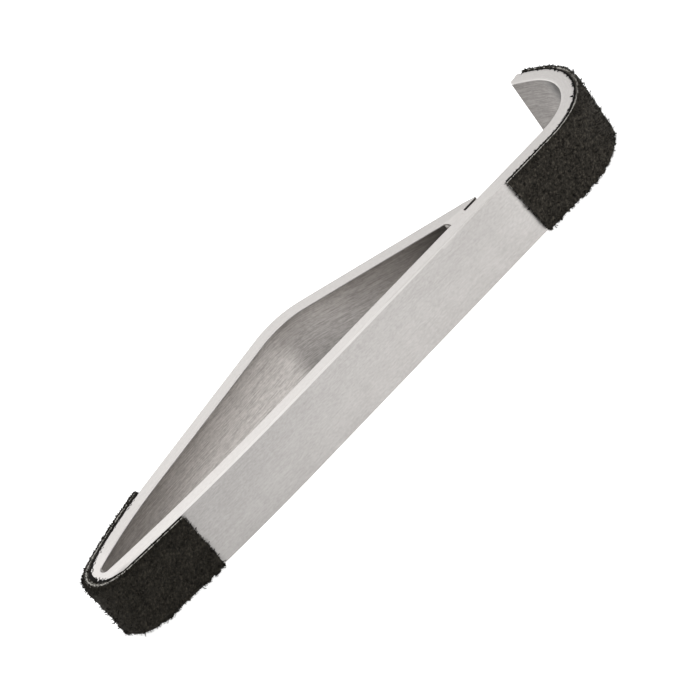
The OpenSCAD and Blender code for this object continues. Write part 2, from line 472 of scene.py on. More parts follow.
@dataclass(frozen=True)
class Suede(Finish):
    """Napped black-brown suede, with a pale line of grain layer in its cut edge.

    The line wanders and is torn. Where the piece's marks say that the edge is frayed it lies deeper
    and spreads in tufts, or fades, and where they say that it is rubbed off it is gone. Each fine
    says how many times finer than a clump a pattern is.
    """

    name: str = "suede"
    dark: Triple = (0.005, 0.0045, 0.0037)
    mid: Triple = (0.0175, 0.0155, 0.0118)
    pale: Triple = (0.046, 0.0405, 0.031)
    line: Triple = (0.56, 0.54, 0.5)
    line_depth: float = 0.34 * MM
    line_shift: float = 0.45 * MM
    line_half: float = 0.25 * MM
    line_swell: float = 0.6 * MM
    line_wander: float = 0.6 * MM
    line_soft: Span = (0.7, 1.3)
    line_fade: float = 0.0
    torn_gain: float = 0.12
    torn_range: Span = (0.34, 0.46)
    tuft_range: Span = (0.5, 0.58)
    tuft_light: float = 0.43
    clump: float = 1.0 * MM
    wander_fine: float = 0.8
    torn_fine: float = 0.45
    tuft_fine: float = 1.7
    patch_fine: float = 0.12
    nap: Triple = (0.5 * MM, 0.5 * MM, 1.0 * MM)
    nap_lean: float = 36.0
    nap_depth: float = 0.25 * MM
    tone_shares: Shares = (0.46, 0.5, 0.04)
    tone_stops: Triple = (0.37, 0.5, 0.64)

    def edge_line(self, g: Graph) -> Value:
        """The pale line in the cut edge.

        Args:
            g: The material's graph.

        Returns:
            How much of it shows, from 0 to 1.
        """
        wander = g.noise(g.place, self.wander_fine / self.clump, detail=3, rough=0.6) - 0.5
        swell = g.attribute(SWELL)
        loose = swell.maths("MAXIMUM", 0.0)
        deep = loose * self.line_shift + self.line_depth
        away = (g.attribute(DEPTH) + wander * self.line_wander - deep).maths("ABSOLUTE")
        wide = loose * self.line_swell + self.line_half
        near = 1.0 - (away / self.line_half).between(*self.line_soft)
        spread = 1.0 - (away / wide).between(*self.line_soft)
        torn = g.noise(g.place, self.torn_fine / self.clump, detail=4, rough=0.7)
        whole = (torn + swell * self.torn_gain).between(*self.torn_range)
        tuft = g.noise(g.place, self.tuft_fine / self.clump, detail=2, rough=0.6)
        line = near.maths("MAXIMUM", spread * tuft.between(*self.tuft_range) * self.tuft_light)
        return line * whole * (1.0 - loose * self.line_fade)

    def sockets(self, g: Graph) -> dict:
        """The values of the surface shader's sockets.

        Args:
            g: The material's graph.

        Returns:
            The values by socket.
        """
        clumps = g.noise(g.place, 1 / self.clump, detail=5, rough=0.65)
        fine = g.noise(g.combed(g.place, self.nap, self.nap_lean), 1.0, detail=3, rough=0.55)
        patch = g.noise(g.place, self.patch_fine / self.clump, detail=2, rough=0.5)
        tone = blend(self.tone_shares, clumps, fine, patch)
        body = g.tones(tone, self.tone_stops, self.dark, self.mid, self.pale)
        return {
            "Base Color": g.mix(self.edge_line(g), body, self.line),
            "Roughness": 0.95,
            "Specular IOR Level": 0.15,
            "Sheen Weight": 0.06,
            "Sheen Roughness": 0.5,
            "Sheen Tint": (0.7, 0.64, 0.55, 1.0),
            "Normal": g.bump(blend((0.5, 0.5), clumps, fine), strength=0.8, distance=self.nap_depth),
        }


@dataclass(frozen=True)
class Fibre(Finish):
    """Loose fibres of the suede, dark in some clumps and worn pale in others."""

    pale: Triple
    dark: Triple = (0.005, 0.0045, 0.0037)
    mid: Triple = (0.016, 0.0142, 0.0108)
    clump: float = 1.5 * MM
    speck: float = 0.62 * MM
    tone_shares: Shares = (0.55, 0.45)
    tone_stops: Triple = (0.36, 0.5, 0.62)

    def sockets(self, g: Graph) -> dict:
        """The values of the surface shader's sockets.

        Args:
            g: The material's graph.

        Returns:
            The values by socket.
        """
        clumps = g.noise(g.place, 1 / self.clump, detail=4, rough=0.65)
        tone = blend(self.tone_shares, clumps, g.noise(g.place, 1 / self.speck, detail=2))
        return {
            "Base Color": g.tones(tone, self.tone_stops, self.dark, self.mid, self.pale),
            "Roughness": 0.9,
            "Specular IOR Level": 0.15,
        }


@dataclass(frozen=True)
class Glue(Finish):
    """Black contact adhesive."""

    name: str = "glue"
    dark: Triple = (0.003, 0.003, 0.003)
    pale: Triple = (0.012, 0.011, 0.01)
    tone_range: Span = (0.3, 0.7)
    grain: float = 0.5 * MM
    depth: float = 0.15 * MM
    roughness: float = 0.8
    rough_play: float = 0.3

    def sockets(self, g: Graph) -> dict:
        """The values of the surface shader's sockets.

        Args:
            g: The material's graph.

        Returns:
            The values by socket.
        """
        tone = g.noise(g.place, 1 / self.grain, detail=4, rough=0.6)
        return {
            "Base Color": g.mix(tone.between(*self.tone_range), self.dark, self.pale),
            "Roughness": self.roughness + (tone - 0.5) * self.rough_play,
            "Specular IOR Level": 0.12,
            "Normal": g.bump(tone, strength=0.6, distance=self.depth),
        }


@dataclass(frozen=True)
class Paper(Finish):
    """Plain pale floor of thin paper, lit a little from below."""

    name: str = "paper"
    light: Triple = (0.96, 0.96, 0.96)
    dark: Triple = (0.95, 0.95, 0.95)
    grain: float = 25 * MM
    glow: float = 0.8

    def sockets(self, g: Graph) -> dict:
        """The values of the surface shader's sockets.

        Args:
            g: The material's graph.

        Returns:
            The values by socket.
        """
        tone = g.noise(g.place, 1 / self.grain, detail=2, rough=0.5)
        return {
            "Base Color": g.mix(tone, self.dark, self.light),
            "Roughness": 0.9,
            "Emission Color": (1.0, 1.0, 1.0, 1.0),
            "Emission Strength": self.glow,
        }


# ------------------------------------------------------------------- geometry


def sine(degrees: float) -> float:
    """The sine of an angle in degrees."""
    return math.sin(math.radians(degrees))


def cosine(degrees: float) -> float:
    """The cosine of an angle in degrees."""
    return math.cos(math.radians(degrees))


def tangent(degrees: float) -> float:
    """The tangent of an angle in degrees."""
    return math.tan(math.radians(degrees))


def part_way(first: float, second: float, share: float) -> float:
    """The value that share of the way from first to second."""
    return first + (second - first) * share


def point_between(first: Point, second: Point, share: float) -> Point:
    """The point that share of the way from first to second."""
    return part_way(first[0], second[0], share), part_way(first[1], second[1], share)


def cuts(first: float, second: float, count: int) -> list[float]:
    """The values that cut the way from first to second into equal parts, without its ends."""
    return [part_way(first, second, i / count) for i in range(1, count)]


def held(share: float) -> float:
    """The share, held between 0 and 1."""
    return max(0.0, min(1.0, share))


def ramp(reading: float, low: float, high: float) -> float:
    """A smooth step: 0 below low, 1 above high."""
    share = held((reading - low) / (high - low))
    return share * share * (3 - 2 * share)


def soft_step(reading: float, reach: float) -> float:
    """A step from 0 to 1 that is spread over about that reach on both sides of 0."""
    return 0.5 + 0.5 * math.tanh(reading / reach)


def nearness(along: float, spot: Span) -> float:
    """How near a distance is to a spot, given as its middle and its reach, from 0 to 1."""
    return math.exp(-(((along - spot[0]) / spot[1]) ** 2))


def rough(place: Vector, size: float, seed: float = 0.0) -> float:
    """Smooth noise, about -1 to 1, with features of a size. Each seed gives another pattern."""
    return noise.noise(place / size + Vector((seed, seed * 1.7, -seed)))


def last_place(low: float, high: float, holds: Callable[[float], bool]) -> float:
    """Finds by halving how far a condition holds.

    Args:
        low: A value where it holds.
        high: A larger value where it doesn't.
        holds: The condition.

    Returns:
        The last value where it holds.
    """
    for _ in range(HALVINGS):
        middle = (low + high) / 2
        if holds(middle):
            low = middle
        else:
            high = middle
    return low


@dataclass(frozen=True)
class Stretch:
    """One stretch of the bar: the length of its middle line and its turn in radians."""

    length: float
    turn: float = 0.0


@dataclass(frozen=True)
class Pose:
    """A place on the middle line, with its heading in radians."""

    x: float
    y: float
    heading: float

    def moved(self, stretch: Stretch, side: int) -> "Pose":
        """The pose at the end of a stretch.

        Args:
            stretch: The stretch.
            side: 1 where the bar turns left and -1 where it turns right.

        Returns:
            The pose at its end.
        """
        if stretch.turn == 0:
            x = self.x + stretch.length * math.cos(self.heading)
            y = self.y + stretch.length * math.sin(self.heading)
            return Pose(x, y, self.heading)
        radius = stretch.length / stretch.turn
        after = self.heading + side * stretch.turn
        x = self.x + side * radius * (math.sin(after) - math.sin(self.heading))
        y = self.y - side * radius * (math.cos(after) - math.cos(self.heading))
        return Pose(x, y, after)


@dataclass(frozen=True)
class Arm:
    """A chain of stretches that starts at the foot of the hook."""

    start: Pose
    side: int
    stretches: tuple[Stretch, ...]

    def pose(self, distance: float) -> Pose:
        """The pose at a distance from the start, run on straight past either end.

        Args:
            distance: The distance along the middle line.

        Returns:
            The pose there.
        """
        pose = self.start
        if distance <= 0:
            return pose.moved(Stretch(distance), self.side)
        for stretch in self.stretches:
            if distance <= stretch.length:
                turn = stretch.turn * distance / stretch.length
                return pose.moved(Stretch(distance, turn), self.side)
            distance -= stretch.length
            pose = pose.moved(stretch, self.side)
        return pose.moved(Stretch(distance), self.side)

    def ends(self) -> list[float]:
        """The distances at which the stretches meet, with both ends."""
        return list(accumulate((stretch.length for stretch in self.stretches), initial=0.0))


@dataclass(frozen=True)
class BarShape:
    """The bent bar's sizes: bends as inner radius and turn in degrees, and how its edges are worn.

    Distances along the bar are measured on its middle line from the start of the hook. They are
    negative in the hook and positive towards the nose and strut.
    """

    width: float
    thickness: float = 4.76 * MM
    ease: float = 0.18 * MM
    hook_start: float = 97.1 * MM
    lift: Span = (24.3 * MM, 17.6)
    hook: Span = (14.1 * MM, 99.7)
    lip: Span = (38.4 * MM, 10.1)
    crown: float = 3.4 * MM
    crown_flat: float = 0.02 * MM
    crown_ground: float = 0.72
    sweep: Span = (690 * MM, 5.7)
    nose_r: float = 1.75 * MM
    cheek: Span = (144 * MM, 12.5)
    crest_rise: float = 33.8 * MM
    climb: float = 11.05
    fall: float = 25.5
    crook_r: float = 25.5 * MM
    seam_gap: float = 1.2 * MM
    bevel_share: float = 0.75
    blunt_len: float = 1.3 * MM
    blunt_angle: float = 32.0
    bead_leg: float = 4.9 * MM
    bead_r: float = 4.6 * MM
    fused_len: float = 1.5 * MM
    round_out: float = 1.8 * MM
    round_deep: float = 1.9 * MM
    round_reach: float = 6.5 * MM
    worn_out: float = 0.5 * MM
    worn_deep: float = 0.26 * MM
    worn_from: Span = (12 * MM, 85 * MM)
    worn_fade: Span = (3 * MM, 9 * MM)
    inner_ease: float = 0.42 * MM
    most_eased: float = 0.3
    tight: float = 60 * MM

    @property
    def half(self) -> float:
        """Half the bar's thickness."""
        return self.thickness / 2

    @property
    def seam(self) -> float:
        """How far the strut's bevelled foot lies from the front bar's middle line."""
        return self.half + self.seam_gap

    def bend(self, inner_r: float, degrees: float) -> Stretch:
        """A bend of that inner radius and turn."""
        turn = math.radians(degrees)
        return Stretch((inner_r + self.half) * turn, turn)

    def hook_arm(self) -> Arm:
        """The arm that curls into the hook."""
        stretches = tuple(self.bend(*size) for size in (self.lift, self.hook, self.lip))
        return Arm(Pose(self.hook_start, 0.0, 0.0), 1, stretches)

    def loop_arm(self) -> Arm:
        """The arm that runs along the front bar, round the nose and over the hand loop.

        Returns:
            The arm, whose front bar is as long as it takes for the strut to come back to it.
        """
        nose_in = 180 - self.sweep[1]
        nose_out = self.climb + self.cheek[1]
        bends = ((self.sweep[0], 180.0, nose_in), (self.nose_r, nose_in, nose_out),
                 (self.cheek[0], nose_out, self.climb))
        rise = sum((r + self.half) * (cosine(after) - cosine(before)) for r, before, after in bends)
        run = sum((r + self.half) * (sine(before) - sine(after)) for r, before, after in bends)
        crook = self.climb + self.fall
        leg = (self.crook_r + self.half) * tangent(crook / 2)
        climb_len = (self.crest_rise - rise) / sine(self.climb)
        sweep_start = -climb_len * cosine(self.climb) - run
        fall_len = (self.crest_rise - self.half) / sine(self.fall)
        stretches = (
            Stretch(self.hook_start - sweep_start),
            self.bend(*self.sweep),
            self.bend(self.nose_r, nose_in - nose_out),
            self.bend(*self.cheek),
            Stretch(climb_len - leg),
            self.bend(self.crook_r, crook),
            Stretch(fall_len - leg),
        )
        return Arm(Pose(self.hook_start, 0.0, math.pi), -1, stretches)


class MiddleLine:
    """The bar's middle line, from the end of the hook to the end of the strut.

    Its named places are distances along the bar: the hook's tip, the two ends and the apex of the
    fold, the crest of the hand loop, the start of the strut's straight fall, and the strut's end.
    """

    CLOSEST: float = 0.3

    def __init__(self, shape: BarShape) -> None:
        """Sets up the two arms and the named places.

        Args:
            shape: The bar's sizes.
        """
        self.shape = shape
        self.hook = shape.hook_arm()
        self.loop = shape.loop_arm()
        _, _, self.fold_start, self.fold_end, _, crook, self.fall_start, self.end = self.loop.ends()
        self.tip = -self.hook.ends()[-1]
        self.apex = (self.fold_start + self.fold_end) / 2
        self.crest = (crook + self.fall_start) / 2

    def at(self, along: float, out: float) -> Point:
        """The place at a distance along the bar and an offset out of it.

        Args:
            along: The distance along the bar.
            out: The offset from the middle line, away from the inside of the tool.

        Returns:
            Its X and Y.
        """
        arm = self.hook if along < 0 else self.loop
        pose = arm.pose(abs(along))
        x = pose.x + arm.side * out * math.sin(pose.heading)
        return x, pose.y - arm.side * out * math.cos(pose.heading)

    def sides(self, along: float) -> tuple[Point, Point]:
        """The places on the bar's inner and outer side at a distance along it."""
        return self.at(along, -self.shape.half), self.at(along, self.shape.half)

    def nose_round(self, along: float) -> float:
        """How far the bar's outer edges are rounded over at the folded nose, from 0 to 1."""
        return nearness(along, (self.apex, self.shape.round_reach))

    def edge_worn(self, along: float) -> float:
        """How worn the front stretch's upper outer edge is at a distance along it, 0 to 1."""
        return ramp(along, *self.shape.worn_from) * ramp(self.apex - along, *self.shape.worn_fade)

    def steps(self, low: float, high: float, straight: float, bent: float) -> list[float]:
        """Distances along the bar at which to put rings.

        Args:
            low: The first distance.
            high: The last distance.
            straight: The step on gentle stretches.
            bent: The step on tight bends.

        Returns:
            The distances, in order, none much closer than the step on tight bends.
        """
        places: list[float] = []
        for arm, sign in ((self.hook, -1), (self.loop, 1)):
            for stretch, begin in zip(arm.stretches, arm.ends()):
                curved = stretch.turn > 0 and stretch.length / stretch.turn < self.shape.tight
                count = max(1, math.ceil(stretch.length / (bent if curved else straight)))
                for i in range(count + 1):
                    places.append(sign * (begin + stretch.length * i / count))
        least = self.CLOSEST * bent
        chosen = [low]
        for place in [*sorted(place for place in places if low < place < high), high]:
            if place - chosen[-1] > least:
                chosen.append(place)
        chosen[-1] = high
        return chosen


def new_object(name: str, data: bpy.types.ID) -> bpy.types.Object:
    """Links an object into the scene, at the origin.

    Args:
        name: The object's name.
        data: Its mesh, light or camera.

    Returns:
        The object.
    """
    made = bpy.data.objects.new(name, data)
    bpy.context.scene.collection.objects.link(made)
    return made


def turn_outwards(mesh: bpy.types.Mesh) -> None:
    """Turns a closed mesh the right way out, by the sign of its volume.

    Args:
        mesh: The mesh.
    """
    volume = 0.0
    for polygon in mesh.polygons:
        points = [mesh.vertices[v].co for v in polygon.vertices]
        for i in range(1, len(points) - 1):
            volume += points[0].dot(points[i].cross(points[i + 1]))
    if volume < 0:
        mesh.flip_normals()


@dataclass
class Loft:
    """A closed skin through rings of points, which all have the same number of points."""

    rings: list[list[Vector]] = field(default_factory=list)
    marks: dict[str, list[list[float]]] = field(default_factory=dict)
    uvs: list[list[Point]] = field(default_factory=list)

    def object(self, name: str, finish: Finish, crisp: float) -> bpy.types.Object:
        """Makes the skin.

        Args:
            name: The object's name.
            finish: Its finish.
            crisp: The angle in degrees past which shading stays crisp at an edge.

        Returns:
            The object, with its marks as attributes and its strip UV map.
        """
        count, last = len(self.rings[0]), len(self.rings) - 1
        faces: list[tuple[int, ...]] = []
        for a in range(0, last * count, count):
            for i in range(count):
                j = (i + 1) % count
                faces.append((a + i, a + j, a + count + j, a + count + i))
        faces.append(tuple(range(count))[::-1])
        faces.append(tuple(range(last * count, (last + 1) * count)))
        mesh = bpy.data.meshes.new(name)
        mesh.from_pydata([point for ring in self.rings for point in ring], [], faces)
        if self.uvs:
            mesh.uv_layers.new(name=STRIP_UV).data.foreach_set("uv", self._flat_uvs())
        for label, rows in self.marks.items():
            attribute = mesh.attributes.new(label, "FLOAT", "POINT")
            attribute.data.foreach_set("value", [mark for row in rows for mark in row])
        mesh.validate()
        turn_outwards(mesh)
        mesh.polygons.foreach_set("use_smooth", [True] * len(mesh.polygons))
        mesh.materials.append(finish.material())
        mesh.set_sharp_from_angle(angle=math.radians(crisp))
        return new_object(name, mesh)

    def _flat_uvs(self) -> list[float]:
        """The UV map's numbers, face by face.

        Returns:
            The numbers. A ring's last face runs on as far as the face before it.
        """
        rows = [[*row, (row[-1][0], row[-1][1] + (row[-1][1] - row[-2][1]))] for row in self.uvs]
        faces = [[near[i], near[i + 1], far[i + 1], far[i]]
                 for near, far in zip(rows, rows[1:]) for i in range(len(near) - 1)]
        return [part for face in (*faces, self.uvs[0][::-1], self.uvs[-1]) for uv in face for part in uv]


def tie(made: bpy.types.Object, node: str | None, slot: str) -> bpy.types.Object:
    """Ties a piece to the frame and reports it.

    Args:
        made: The piece.
        node: The frame's node that it stands for, or None.
        slot: The record's material slot.

    Returns:
        The piece.
    """
    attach(made, BODY)
    if node is not None:
        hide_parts(node)
    made.data.calc_loop_triangles()
    LOG.info("%s: %d triangles, slot %s", made.name, len(made.data.loop_triangles), slot)
    return made


# --------------------------------------------------------------- steel pieces


@dataclass(frozen=True)
class Station:
    """One cross-section of the bar, from its inner to its outer side, at a distance along it.

    It says how far, from 0 to 1, its outer edges are rounded over, its upper outer edge is worn to
    a small flat, and its upper inner edge is eased.
    """

    inner: Point
    outer: Point
    along: float
    rounded: float = 0.0
    worn: float = 0.0
    eased: float = 0.5


@dataclass
class SteelBar:
    """The bent flat bar, skinned in one piece from the hook's crowned end to the strut's tip."""

    shape: BarShape
    line: MiddleLine
    straight_step: float = 2 * MM
    bent_step: float = 0.45 * MM
    face_steps: int = 10
    top_steps: int = 3
    corner_steps: int = 6
    crown_steps: int = 8
    foot_steps: int = 10
    tip_width: float = 0.12 * MM
    inner_side: float = 0.02
    ease_blend: float = 12 * MM
    climb_slope: float = -0.1
    fall_slope: float = 0.04
    slope_blend: float = 12 * MM
    # Painted shade inside the hook, deepest high up at its bend, and a painted highlight low down by its
    # lip.
    hook_blend: float = 12 * MM
    # The strut's outer face and upper edge are made plainly darker.
    strut_dull: float = 0.2
    # Painted highlight on the climb of the strut's inner face.
    climb_dull: float = -0.22
    climb_blend: Span = (15 * MM, 45 * MM)
    bend_dull: float = 0.58
    bend_lean: float = 0.3
    bend_at: Span = (-27 * MM, 5 * MM)
    lip_dull: float = -0.3
    lip_at: Span = (-35 * MM, 4 * MM)
    # Painted shade on the strut's inner face after the crest, less of it high up.
    fall_dull: float = 0.55
    fall_lean: float = 1.1
    fall_blend: float = 3 * MM
    fall_shift: float = 4 * MM
    # Painted shade in the corner by the weld.
    soot: float = 0.65
    soot_reach: Span = (30 * MM, 8 * MM)
    crisp: float = 30.0

    def stations(self) -> list[Station]:
        """Lists the cross-sections from the hook's end to the strut's tip.

        Returns:
            The cross-sections: the crowned end, the bent bar and the bevelled foot.
        """
        s, line = self.shape, self.line
        made: list[Station] = []
        for i in range(self.crown_steps):
            reach = (s.crown - s.crown_flat) * math.cos(math.pi / 2 * i / self.crown_steps)
            half = min(s.half, math.sqrt(s.crown**2 - reach**2))
            along, ground = line.tip - reach, line.tip - s.crown_ground * reach
            made.append(Station(line.at(along, -half), line.at(ground, half), along))
        foot = last_place(line.fall_start, line.end, lambda along: line.at(along, -s.half)[1] > s.seam)
        for along in line.steps(line.tip, foot, self.straight_step, self.bent_step):
            eased = part_way(Station.eased, 1.0, ramp(along - line.fold_end, 0.0, self.ease_blend))
            rounded, worn = line.nose_round(along), line.edge_worn(along)
            made.append(Station(*line.sides(along), along, rounded, worn, eased))
        return made + self.foot_stations(foot)

    def foot_stations(self, foot: float) -> list[Station]:
        """Lists the cross-sections of the strut's bevelled foot and its blunted tip.

        Args:
            foot: The distance along the bar at which the bevel starts.

        Returns:
            The cross-sections after the first of the foot.
        """
        s = self.shape
        slope, blunt = tangent(s.fall), tangent(s.blunt_angle)
        outer_zero = s.crest_rise + s.half / cosine(s.fall)
        tip_x = (outer_zero - s.seam) / slope - s.blunt_len
        corner_x = (outer_zero - s.seam - blunt * tip_x) / (slope - blunt)
        corner = (corner_x, outer_zero - slope * corner_x)
        inner, outer = self.line.sides(foot)
        meet = (part_way(inner[0], tip_x, s.bevel_share), s.seam)
        tip = ((tip_x, s.seam), (tip_x, s.seam + self.tip_width))
        made: list[Station] = []
        for before, after in (((inner, outer), (meet, corner)), ((meet, corner), tip)):
            for k in range(1, self.foot_steps + 1):
                low, high = (point_between(*ends, k / self.foot_steps) for ends in zip(before, after))
                made.append(Station(low, high, foot + math.dist(inner, low), eased=1.0))
        return made

    def section(self, station: Station) -> list[Point]:
        """Points of one cross-section, as shares from inner to outer side and heights.

        Args:
            station: The cross-section.

        Returns:
            The points, once round from the middle of the lower edge.
        """
        s = self.shape
        thick = math.dist(station.inner, station.outer)
        most = s.most_eased * thick
        ease = min(s.ease, most)
        inner = min(part_way(ease, s.inner_ease, station.eased), most)
        low_out, low_deep = ease + s.round_out * station.rounded, ease + s.round_deep * station.rounded
        top_out, top_deep = low_out + s.worn_out * station.worn, low_deep + s.worn_deep * station.worn
        plain, low, top, near = ease / thick, low_out / thick, top_out / thick, inner / thick
        quarter = [math.pi / 2 * i / self.corner_steps for i in range(self.corner_steps + 1)]
        flat = 1 + station.worn
        points = [(0.5, 0.0), *((share, 0.0) for share in cuts(0.5, 1 - low, self.top_steps))]
        points += [(1 - low + low * math.sin(a), low_deep - low_deep * math.cos(a)) for a in quarter]
        points += [(1.0, z) for z in cuts(low_deep, s.width - top_deep, self.face_steps)]
        for a in quarter:
            drawn, raised = max(0.0, math.cos(a)) ** flat, max(0.0, math.sin(a)) ** flat
            points.append((1 - top + top * drawn, s.width - top_deep + top_deep * raised))
        points += [(share, s.width) for share in cuts(1 - top, near, 2 * self.top_steps)]
        points += [(near - near * math.sin(a), s.width - inner + inner * math.cos(a)) for a in quarter]
        points += [(0.0, z) for z in cuts(s.width - inner, ease, self.face_steps)]
        points += [(plain - plain * math.cos(a), ease - ease * math.sin(a)) for a in quarter]
        points += [(share, 0.0) for share in cuts(plain, 0.5, self.top_steps)]
        return points

    def brush_slope(self, along: float) -> float:
        """How steeply the brush marks climb across the bar at a distance along it."""
        slopes = ((self.climb_slope, self.line.fold_end), (self.fall_slope, self.line.crest))
        return sum(slope * soft_step(along - place, self.slope_blend) for slope, place in slopes)

    def dullness(self, along: float, height: float) -> float:
        """How far the bar's inner side is darkened by painted shade. Below 0 it takes a painted
        highlight.

        Args:
            along: The distance along the bar.
            height: The height above the surface that the tool stands on.

        Returns:
            The painted shade, about 1 at the most; below 0 a painted highlight.
        """
        line, rise = self.line, 2 * height / self.shape.width - 1
        # Painted shade inside the hook and at its bend, painted highlight by the lip.
        in_hook = held(-along / self.hook_blend)
        in_hook += self.bend_dull * (1 + self.bend_lean * rise) * nearness(along, self.bend_at)
        in_hook += self.lip_dull * (1 - rise) / 2 * nearness(along, self.lip_at)
        # Painted shade after the crest and painted highlight on the climb.
        on_fall = soft_step(along - line.crest + self.fall_shift, self.fall_blend)
        on_climb = ramp(along - line.fold_end, *self.climb_blend) * (1 - on_fall)
        # Painted shade in the corner by the weld.
        by_weld = ramp(along, line.end - self.soot_reach[0], line.end - self.soot_reach[1])
        fallen = self.fall_dull * (1 - self.fall_lean * rise)
        return in_hook + self.climb_dull * on_climb + fallen * on_fall + self.soot * by_weld

    def build(self) -> bpy.types.Object:
        """Makes the bar, dresses it and ties it to the frame.

        Returns:
            The bar.
        """
        loft = Loft(marks={INSIDE: [], DARKENING: []})
        stations = self.stations()
        drift, before = 0.0, stations[0].along
        for station in stations:
            drift += self.brush_slope(station.along) * (station.along - before)
            before = station.along
            section = self.section(station)
            inner, outer = Vector(station.inner), Vector(station.outer)
            ring = [Vector((*inner.lerp(outer, share), height)) for share, height in section]
            round_way = accumulate(((b - a).length for a, b in zip(ring, ring[1:])), initial=0.0)
            inside = [float(share < self.inner_side) for share, _ in section]
            # The strut's other faces are plainly darker; the inner faces take painted shade and
            # highlight.
            plain = self.strut_dull * (2 * station.eased - 1)
            dull = [self.dullness(station.along, place.z) for place in ring]
            loft.rings.append(ring)
            loft.uvs.append([(station.along, way + drift) for way in round_way])
            loft.marks[INSIDE].append(inside)
            loft.marks[DARKENING].append([part_way(plain, own, mark) for own, mark in zip(dull, inside)])
        return tie(loft.object("bar", BrushedSteel(), self.crisp), "steel_bar", "bar_steel")


@dataclass
class WeldBead:
    """The weld in the corner of the hand loop, ground flush with the bar's edges."""

    shape: BarShape
    hollow_steps: int = 14
    height_steps: int = 60
    flush: float = 0.012 * MM
    bite: float = 0.5 * MM
    lump: float = 0.16 * MM
    lump_size: float = 1.4 * MM
    lump_rim: float = 1.2 * MM
    ground_up: float = 0.9
    crisp: float = 40.0
    seed: float = 3.0

    def outline(self) -> list[Point]:
        """The bead's outline from above.

        Returns:
            Its points, with those of its hollow face first.
        """
        s, bite = self.shape, self.bite
        slope = tangent(s.fall)
        corner = (s.crest_rise - s.half / cosine(s.fall) - s.half) / slope
        centre = corner - s.bead_leg - s.bead_r
        reach = corner - centre
        turn = last_place(0.0, math.pi / 2, lambda a: (
            s.bead_r * math.sin(a) < (reach - s.bead_r * math.cos(a)) * slope))
        hollow = [(centre + s.bead_r * math.cos(a), s.half + s.bead_r * math.sin(a))
                  for a in (turn * i / self.hollow_steps for i in range(self.hollow_steps + 1))]
        end = corner + s.fused_len
        return [*hollow, (hollow[-1][0], hollow[-1][1] + bite), (end, s.seam + bite),
                (end, s.half - bite), (hollow[0][0], s.half - bite)]

    def build(self) -> bpy.types.Object:
        """Makes the bead, dresses it and ties it to the frame.

        Returns:
            The bead. Its ends, which are ground, have the bar's finish.
        """
        loft, outline, width = Loft(), self.outline(), self.shape.width
        for k in range(self.height_steps + 1):
            z = part_way(0.0, width + self.flush, k / self.height_steps)
            swell = self.lump * held(min(z, width - z) / self.lump_rim)
            ring = []
            for i, (x, y) in enumerate(outline):
                hollow = 0 < i < self.hollow_steps
                wave = rough(Vector((x, y, z)), self.lump_size, self.seed) if hollow else 0.0
                ring.append(Vector((x + swell * wave, y, z)))
            loft.rings.append(ring)
            loft.uvs.append(outline)
        made = loft.object("weld", WeldMetal(), self.crisp)
        made.data.materials.append(bpy.data.materials[BrushedSteel.name])
        for polygon in made.data.polygons:
            if abs(polygon.normal.z) > self.ground_up:
                polygon.material_index = 1
        return tie(made, "weld_bead", "weld_steel")


# -------------------------------------------------------------- leather pieces


class Pad(Enum):
    """The two pads of the tool."""

    NOSE = "nose_pad"
    HOOK = "hook_pad"


def rounded_off(share: float) -> float:
    """How far a rounded corner has fallen off at a share of its width, from 0 to 1."""
    return 1 - math.sqrt(max(0.0, 1 - share * share))


@dataclass(frozen=True)
class PadShape:
    """The sizes of one pad. Distances along the bar are as in the bar's middle line.

    The pad runs from low to high. Its cut edge is frayed most at one place, less and less over a
    reach to each side of it, and rubbed off further out. The suede is loose and swollen past that
    place. It thins towards its low end, and its high end is cut askew. The glue stands out in
    beads, one smear and specks.
    """

    pad: Pad
    low: float
    high: float
    frayed: float
    frayed_reach: Span
    glue: float = 0.8 * MM
    glue_share: float = 0.4
    leather: float = 1.3 * MM
    thin: float = 1.0
    thin_from: float = 0.0
    skew: float = 0.0
    skew_reach: float = 12 * MM
    lift: float = 0.25 * MM
    fold_lift: float = 0.0
    fold_power: float = 1.5
    fold_lean: float = 0.0
    drop: float = 0.0
    swollen: float = 0.0
    swollen_from: Span = (-5 * MM, 3 * MM)
    swollen_deep: float = 0.7
    broken: float = 0.0
    broken_from: Span = (10 * MM, 22 * MM)
    end_broken: float = 0.0
    end_broken_from: Span = (6 * MM, 13 * MM)
    beads: float = 0.1 * MM
    smear: float = 0.0
    smear_at: Span = (-9.5 * MM, 4.5 * MM)
    specks: float = 0.4
    seed: float = 1.0

    def outside(self, along: float) -> float:
        """How far the suede stands out of the steel at a distance along the bar."""
        share = ramp(self.thin_from - along, 0.0, self.thin_from - self.low)
        return (self.glue + self.leather + self.past_fold(along)) * part_way(1.0, self.thin, share)

    def past_fold(self, along: float) -> float:
        """How much the suede swells at a distance along the bar. It is loose past the fold."""
        return self.swollen * ramp(along - self.frayed, *self.swollen_from)

    def lifted(self, rounded: float) -> float:
        """How much higher the lower edge lies where the bar's edges are rounded over that far."""
        return self.fold_lift * rounded**self.fold_power

    def glued(self, along: float) -> float:
        """How far the leather's inner side stands out of the steel."""
        return min(self.glue, self.glue_share * self.outside(along))

    def swell(self, along: float) -> float:
        """How frayed the cut edge is at a distance along the bar.

        Args:
            along: The distance.

        Returns:
            1 where it is frayed most, and below 0 where it is rubbed off.
        """
        reach = self.frayed_reach[0] if along < self.frayed else self.frayed_reach[1]
        rubbed = self.broken * ramp(along - self.frayed, *self.broken_from)
        rubbed += self.end_broken * ramp(self.frayed - along, *self.end_broken_from)
        return nearness(along, (self.frayed, reach)) - rubbed

    def drift(self, along: float, z: float) -> float:
        """How far a point moves along the bar, because the high end is cut askew."""
        return tangent(self.skew) * z * held(1 - (self.high - along) / self.skew_reach)


